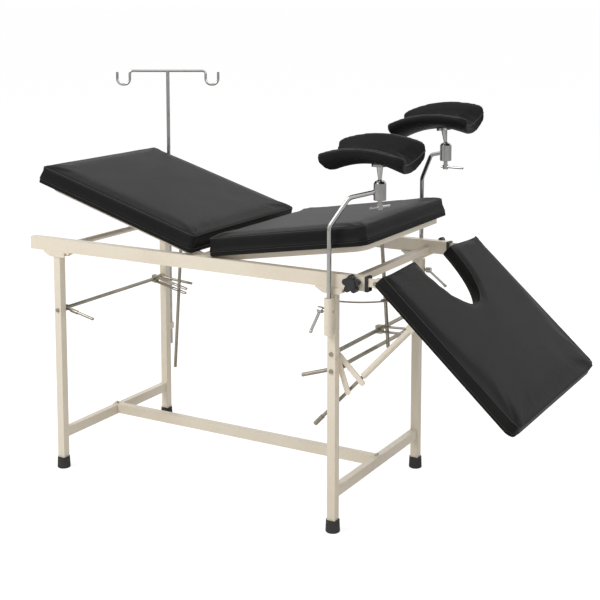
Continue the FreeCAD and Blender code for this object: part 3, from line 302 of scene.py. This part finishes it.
def pad_from(node, name, place, voxel, shrink, cap, held, rounding=0):
    mesh = NODES[node].data.copy()
    mesh.transform(place.inverted())
    shape = bmesh.new()
    shape.from_mesh(mesh)
    bmesh.ops.remove_doubles(shape, verts=shape.verts, dist=1e-5)
    shape.to_mesh(mesh)
    shape.free()
    lo, hi = box_of(mesh)
    middle = (lo + hi) / 2
    for v in mesh.vertices:
        for i in range(3):
            span = (hi[i] - lo[i]) / 2
            anchor = lo[i] if i == 2 else middle[i]
            v.co[i] = anchor + (v.co[i] - anchor) * (1 - shrink / (span * (2 if i == 2 else 1)))
    pad = link(bpy.data.objects.new(name, mesh))
    remesh = pad.modifiers.new("even", "REMESH")
    remesh.mode = "VOXEL"
    remesh.voxel_size = voxel
    if rounding:
        soften = pad.modifiers.new("soften", "SMOOTH")
        soften.factor = 0.5
        soften.iterations = rounding
    pad.data = baked(pad)
    pad.modifiers.clear()
    start = [v.co.copy() for v in pad.data.vertices]
    fixed = pad.vertex_groups.new(name="held")
    fixed.add([i for i, p in enumerate(start) if held(p, lo, hi)], 1.0, "REPLACE")
    cloth = pad.modifiers.new("cloth", "CLOTH")
    cloth.settings.quality = 4
    cloth.settings.mass = 0.4
    cloth.settings.tension_stiffness = 12
    cloth.settings.compression_stiffness = 12
    cloth.settings.bending_stiffness = 3
    cloth.settings.use_pressure = True
    cloth.settings.uniform_pressure_force = CLOTH_PRESSURE
    cloth.settings.effector_weights.gravity = 0
    cloth.settings.vertex_group_mass = "held"
    cloth.collision_settings.use_collision = False
    cloth.point_cache.frame_start = 1
    cloth.point_cache.frame_end = CLOTH_STEPS
    for step in range(1, CLOTH_STEPS + 1):
        bpy.context.scene.frame_set(step)
    pad.data = baked(pad)
    pad.modifiers.clear()
    pad.vertex_groups.clear()
    bpy.context.scene.frame_set(1)
    for v, first in zip(pad.data.vertices, start):
        move = v.co - first
        if move.length > cap:
            v.co = first + move * (cap / move.length)
    for v in pad.data.vertices:
        rise = min(1.0, max(0.0, (v.co.z - lo.z) / 0.02))
        v.co += v.normal * rise * SURFACE_RIPPLE * noise.noise(v.co * 9 + Vector((RIPPLE_START[node], 3, 1)))
    for polygon in pad.data.polygons:
        polygon.use_smooth = True
    pad.data.transform(place)
    pad.data.materials.clear()
    pad.data.materials.append(vinyl)
    new_lo, new_hi = box_of(pad.data)
    print(name, len(pad.data.vertices), "points", [round(v, 4) for v in new_hi - new_lo])
    return pad


def under(p, lo, hi):
    return p.z < lo.z + 0.006


def underside_of_trough(p, lo, hi):
    return abs(p.x) < 0.03 and abs(p.y) < 0.03 and p.z < lo.z + 0.06


# %% The three flat pads
back_pad = pad_from("back_cushion", "back_pad", BACK, 0.0075, 0.003, 0.006, under)
seat_pad = pad_from("seat_cushion", "seat_pad", SEAT, 0.0075, 0.003, 0.006, under)
leg_pad = pad_from("leg_cushion", "leg_pad", LEG, 0.0075, 0.0025, 0.005, under)
for pad, node, body in ((back_pad, "back_cushion", "back_section"),
                        (seat_pad, "seat_cushion", "seat_section"),
                        (leg_pad, "leg_cushion", "leg_section")):
    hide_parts(node)
    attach(pad, body)

# %% [markdown]
# ## Knee pads
# The troughs are thick foam in vinyl, rounder than the flat pads and with a welt round the rim.
# They go through the same inflation in their own axes, held only over the steel boss. Their ends are
# smoothed first, because a foam end under a pulled cover is round where the CAD trough is cut square.

# %% Places of the crutches and of the balls that carry the knee pads
SIDES = (("near", -1), ("far", 1))
POST_X = 0.305
POST_Y = 0.306
POST_LOW = {"near": 0.578, "far": 0.636}
ARM_REACH = 0.1388
ARM_TURN = math.radians(35.4)
CLAMP = Vector((POST_X + ARM_REACH * math.cos(ARM_TURN), POST_Y - ARM_REACH * math.sin(ARM_TURN), 0))
BALL_UP = 0.370 + 0.054 - math.sqrt(12.05 ** 2 - 9.2 ** 2) * MM
KNEE_TIP = {"near": 1, "far": 7}
KNEE = {}
for side, sign in SIDES:
    spot = Vector((CLAMP.x, sign * CLAMP.y, POST_LOW[side] + BALL_UP)) - MIDDLE
    KNEE[side] = Matrix.Translation(spot) @ Matrix.Rotation(math.radians(-KNEE_TIP[side]), 4, "Y")

# %% The two knee pads
knee_pads = {}
for side, place in KNEE.items():
    pad = pad_from("knee_pad_" + side, "knee_cushion_" + side, place, 0.005, 0.002, 0.006,
                   underside_of_trough, rounding=14)
    knee_pads[side] = pad
    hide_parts("knee_pad_" + side)
    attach(pad, "knee_" + side)

# %% [markdown]
# ## Seams
# The top panel and the side band of each pad are sewn together. The seam is drawn as a thin raised
# welt. Its line is computed from the pad's plan and then dropped onto the nearest point of the real
# surface, so it follows the inflated foam exactly.


# %% Closed plan outlines with rounded corners
def rounded(corners, step=0.012):
    line = []
    count = len(corners)
    for i, (x, y, r) in enumerate(corners):
        here = Vector((x, y, 0))
        before = Vector((*corners[i - 1][:2], 0)) - here
        after = Vector((*corners[(i + 1) % count][:2], 0)) - here
        if r == 0:
            line.append(here)
            continue
        one = here + before.normalized() * r
        two = here + after.normalized() * r
        for k in range(7):
            t = k / 6
            line.append(one.lerp(here, t).lerp(here.lerp(two, t), t))
    dense = []
    for a, b in zip(line, line[1:] + line[:1]):
        parts = max(1, int((b - a).length / step))
        dense += [a.lerp(b, k / parts) for k in range(parts)]
    return dense


def tube(name, points, radius, material, closed=True, sides=2):
    curve = bpy.data.curves.new(name, "CURVE")
    curve.dimensions = "3D"
    curve.bevel_depth = radius
    curve.bevel_resolution = sides
    curve.use_fill_caps = True
    line = curve.splines.new("POLY")
    line.points.add(len(points) - 1)
    for spot, p in zip(line.points, points):
        spot.co = (*p, 1)
    line.use_cyclic_u = closed
    obj = link(bpy.data.objects.new(name, curve))
    mesh = baked(obj)
    bpy.data.objects.remove(obj)
    made = link(bpy.data.objects.new(name, mesh))
    for polygon in mesh.polygons:
        polygon.use_smooth = True
    mesh.materials.clear()
    mesh.materials.append(material)
    return made


def drop_on(pad, points, sink=0.0):
    tree = BVHTree.FromObject(pad, bpy.context.evaluated_depsgraph_get())
    inverse = pad.matrix_world.inverted()
    spots = []
    for p in points:
        spot, normal, _, _ = tree.find_nearest(inverse @ p)
        spots.append(pad.matrix_world @ (spot - normal * sink))
    return spots


# %% Welts of the flat pads
def ellipse_part(deep, wide, first, last, count=20):
    return [(max(0.003, deep * math.cos(first + (last - first) * k / count)),
             wide * math.sin(first + (last - first) * k / count), 0) for k in range(count + 1)]


HEM = 0.021
LEG_HEM = 0.0225
PLANS = {
    "back": (back_pad, BACK, "back_section", 0.069, HEM,
             [(-0.630, -0.300, 0.014), (-0.017, -0.300, 0.014), (-0.017, 0.300, 0.014),
              (-0.630, 0.300, 0.014)]),
    "seat": (seat_pad, SEAT, "seat_section", 0.069, HEM,
             [(0.003, -0.291, 0.014), (0.526, -0.291, 0.030), (0.526, 0.291, 0.030), (0.003, 0.291, 0.014)]),
    "leg": (leg_pad, LEG, "leg_section", 0.056, LEG_HEM,
            [(0.003, -0.336, 0.008), (0.540, -0.336, 0.038), (0.540, 0.336, 0.038), (0.003, 0.336, 0.008)]
            + ellipse_part(0.192, 0.127, math.pi / 2, -math.pi / 2)),
}
for name, (pad, place, body, top, hem, corners) in PLANS.items():
    for label, height, radius in (("welt", top - 0.0015, 0.0011), ("hem", hem, 0.0009)):
        outline = [place @ Vector((p.x, p.y, height)) for p in rounded(corners)]
        seam = tube("%s_%s" % (name, label), drop_on(pad, outline), radius, thread)
        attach(seam, body)

# %% Welts along the rims and across the troughs of the knee pads
# The line is evened out and dropped again a few times, so that it doesn't jump at the round ends
WELT_SPOTS = 120
PAD_OFFSET = 0.030
for side, pad in knee_pads.items():
    place = KNEE[side]
    line = []
    for k in range(WELT_SPOTS):
        turn = 2 * math.pi * k / WELT_SPOTS
        x = 0.136 * max(-1, min(1, 1.28 * math.cos(turn)))
        y = 0.007 + 0.089 * max(-1, min(1, 1.22 * math.sin(turn)))
        line.append(place @ Vector((x - PAD_OFFSET, y, 0.053 + 0.055 - 1.2 * x * x)))
    line = drop_on(pad, line)
    for _ in range(3):
        line = [(line[k - 1] + line[k] + line[(k + 1) % WELT_SPOTS]) / 3 for k in range(WELT_SPOTS)]
        line = drop_on(pad, line)
    seam = tube("knee_welt_" + side, line, 0.0016, thread)
    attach(seam, "knee_" + side)

# %% [markdown]
# ## Welds
# Tubes of the frame are welded where they meet. A weld bead is a lumpy rope in the corner between
# two parts, painted over with the same enamel, and without it the joints look glued by a computer.


# %% Weld beads
def bead(name, points, radius, body, material=enamel, closed=True):
    lumpy = []
    for a, b in zip(points, points[1:] + (points[:1] if closed else [])):
        parts = max(2, int((b - a).length / 0.003))
        lumpy += [a.lerp(b, k / parts) for k in range(parts)]
    lumpy = [p - MIDDLE + noise.noise_vector(p * 260) * radius * 0.25 for p in lumpy]
    made = tube(name, lumpy, radius, material, closed)
    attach(made, body)
    return made


def square_xz(x, y, z, dx, dz):
    return [Vector((x - dx, y, z - dz)), Vector((x + dx, y, z - dz)), Vector((x + dx, y, z + dz)),
            Vector((x - dx, y, z + dz))]


def ring_round(middle, across, up, radius, count):
    return [middle + across * radius * math.cos(t) + up * radius * math.sin(t)
            for t in [2 * math.pi * k / count for k in range(count)]]


# %% Beads of both sides
UP = Vector((0, 0, 1))
TRACK = 0.280
LEG_FACE = 0.2672
SOCKET_FACE = 0.2940
CORNERS = ((-0.0128, -0.0128), (0.0128, -0.0128), (0.0128, 0.0128), (-0.0128, 0.0128))
for side, sign in SIDES:
    inner = sign * LEG_FACE
    for end, x in (("head", -0.677), ("foot", 0.303)):
        bead("weld_crossbar_%s_%s" % (end, side), square_xz(x, inner, 0.113, 0.0102, 0.0152), 0.0016, "frame")
    bead("weld_foot_cross_" + side, square_xz(0.340, inner, 0.7163, 0.0102, 0.0102), 0.0015, "frame")
    ring = ring_round(Vector((-0.673, inner, 0.7177)), Vector((1, 0, 0)), UP, 0.0097, 16)
    bead("weld_head_cross_" + side, ring, 0.0015, "frame")
    for edge, x in (("left", 0.2955), ("right", 0.3145)):
        line = [Vector((x, sign * SOCKET_FACE, 0.577)), Vector((x, sign * SOCKET_FACE, 0.676))]
        bead("weld_socket_%s_%s" % (edge, side), line, 0.0018, "frame", closed=False)
    for end, x in (("head", -0.675), ("foot", 0.305)):
        line = [Vector((x + dx, sign * (TRACK + dy), 0.7055)) for dx, dy in CORNERS]
        bead("weld_leg_%s_%s" % (end, side), line, 0.0014, "frame")
    arm = ARM_REACH - 0.0178
    tip = Vector((POST_X + arm * math.cos(ARM_TURN), sign * (POST_Y - arm * math.sin(ARM_TURN)),
                  POST_LOW[side] + 0.3915))
    across = Vector((sign * math.sin(ARM_TURN), math.cos(ARM_TURN), 0))
    bead("weld_clamp_" + side, ring_round(tip, across, UP, 0.0068, 18), 0.0014, "crutch_" + side, bright)

# %% [markdown]
# ## Screws
# The boards are held to their angle frames by round-headed screws from below. One head is lathed
# from a short profile and copied, because a plain half ball has no flat seat and no slot.


# %% A screw head
def lathe(name, profile, place, material, body, slotted=False, sides=20):
    shape = bmesh.new()
    rings = []
    for r, z in profile:
        if r < 1e-6:
            rings.append([shape.verts.new((0, 0, z))])
        else:
            rings.append([shape.verts.new((r * math.cos(2 * math.pi * k / sides),
                                           r * math.sin(2 * math.pi * k / sides), z)) for k in range(sides)])
    for low, high in zip(rings, rings[1:]):
        for k in range(sides):
            after = k + 1
            quad = [low[k % len(low)], low[after % len(low)], high[after % len(high)], high[k % len(high)]]
            unique = list(dict.fromkeys(quad))
            if len(unique) > 2:
                shape.faces.new(unique)
    if slotted:
        for v in shape.verts:
            if abs(v.co.x) < profile[0][0] * 0.22 and v.co.z > profile[-1][1] * 0.4:
                v.co.z *= 0.55
    bmesh.ops.recalc_face_normals(shape, faces=shape.faces)
    mesh = bpy.data.meshes.new(name)
    shape.to_mesh(mesh)
    shape.free()
    for polygon in mesh.polygons:
        polygon.use_smooth = True
    mesh.materials.append(material)
    made = link(bpy.data.objects.new(name, mesh))
    mesh.transform(place)
    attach(made, body)
    return made


HEAD = [(0.0045, 0), (0.0045, 0.0008), (0.0038, 0.0020), (0.0022, 0.0028), (0, 0.0030)]
DOWN = Matrix.Rotation(math.pi, 4, "X")
for name, place, body, xs in (("back", BACK, "back_section", (-0.56, -0.33, -0.10)),
                              ("seat", SEAT, "seat_section", (0.06, 0.26, 0.46))):
    count = 0
    for x in xs:
        for y in (-0.252, 0.252):
            spot = place @ Matrix.Translation((x, y, 0.006)) @ DOWN
            lathe("%s_screw_%d" % (name, count), HEAD, spot, plated, body, slotted=True)
            count += 1

# %% [markdown]
# ## Floor and light
# The photograph is a cut-out on white with faint shadows at the feet. The floor is pale, and part of
# what the camera sees of it is plain white, so that the shadows stay soft. The light is a white dome
# with a large lamp from the upper left front, a weak one from the right and a broad one above.

# %% Floor
floor_mesh = bpy.data.meshes.new("floor")
floor_mesh.from_pydata([(-250, -250, 0), (250, -250, 0), (250, 250, 0), (-250, 250, 0)], [], [(0, 1, 2, 3)])
floor = link(bpy.data.objects.new("floor", floor_mesh))
paper = bpy.data.materials.new("white_floor")
paper.use_nodes = True
tree = paper.node_tree
shader = tree.nodes["Principled BSDF"]
shader.inputs["Base Color"].default_value = (0.86, 0.86, 0.86, 1)
shader.inputs["Roughness"].default_value = 0.9
shader.inputs["Specular IOR Level"].default_value = 0.0
white = tree.nodes.new("ShaderNodeEmission")
white.inputs["Strength"].default_value = 1.6
blend = tree.nodes.new("ShaderNodeMixShader")
rays = tree.nodes.new("ShaderNodeLightPath")
tree.links.new(math_node(tree, "MULTIPLY", rays.outputs["Is Camera Ray"], 0.5), blend.inputs[0])
tree.links.new(shader.outputs[0], blend.inputs[1])
tree.links.new(white.outputs[0], blend.inputs[2])
tree.links.new(blend.outputs[0], tree.nodes["Material Output"].inputs["Surface"])
floor_mesh.materials.append(paper)

# %% Dome
world = bpy.data.worlds.new("dome")
bpy.context.scene.world = world
world.use_nodes = True
tree = world.node_tree
tree.nodes.clear()
dome = tree.nodes.new("ShaderNodeBackground")
rays = tree.nodes.new("ShaderNodeLightPath")
seen = math_node(tree, "MAXIMUM", rays.outputs["Is Camera Ray"], rays.outputs["Is Glossy Ray"])
seen = math_node(tree, "MAXIMUM", seen, rays.outputs["Is Transmission Ray"])
strength = math_node(tree, "ADD", math_node(tree, "MULTIPLY", seen, 0.55), 0.45)
dome.inputs["Color"].default_value = (1, 1, 1, 1)
tree.links.new(strength, dome.inputs["Strength"])
out = tree.nodes.new("ShaderNodeOutputWorld")
tree.links.new(dome.outputs[0], out.inputs["Surface"])


# %% Lamps
def lamp(name, spot, aim, size, power):
    data = bpy.data.lights.new(name, "AREA")
    data.shape = "SQUARE"
    data.size = size
    data.energy = power
    obj = link(bpy.data.objects.new(name, data))
    obj.location = spot
    obj.rotation_mode = "QUATERNION"
    obj.rotation_quaternion = (Vector(aim) - Vector(spot)).to_track_quat("-Z", "Y")
    return obj


lamp("key", (-2.2, -3.6, 4.2), (0, 0, 0.6), 2.6, 150)
lamp("fill", (4.2, -1.4, 2.6), (0, 0, 0.6), 2.6, 38)
lamp("top", (0.5, 1.8, 4.5), (0, 0, 0.6), 3.0, 50)
bpy.context.scene.view_settings.view_transform = "Standard"
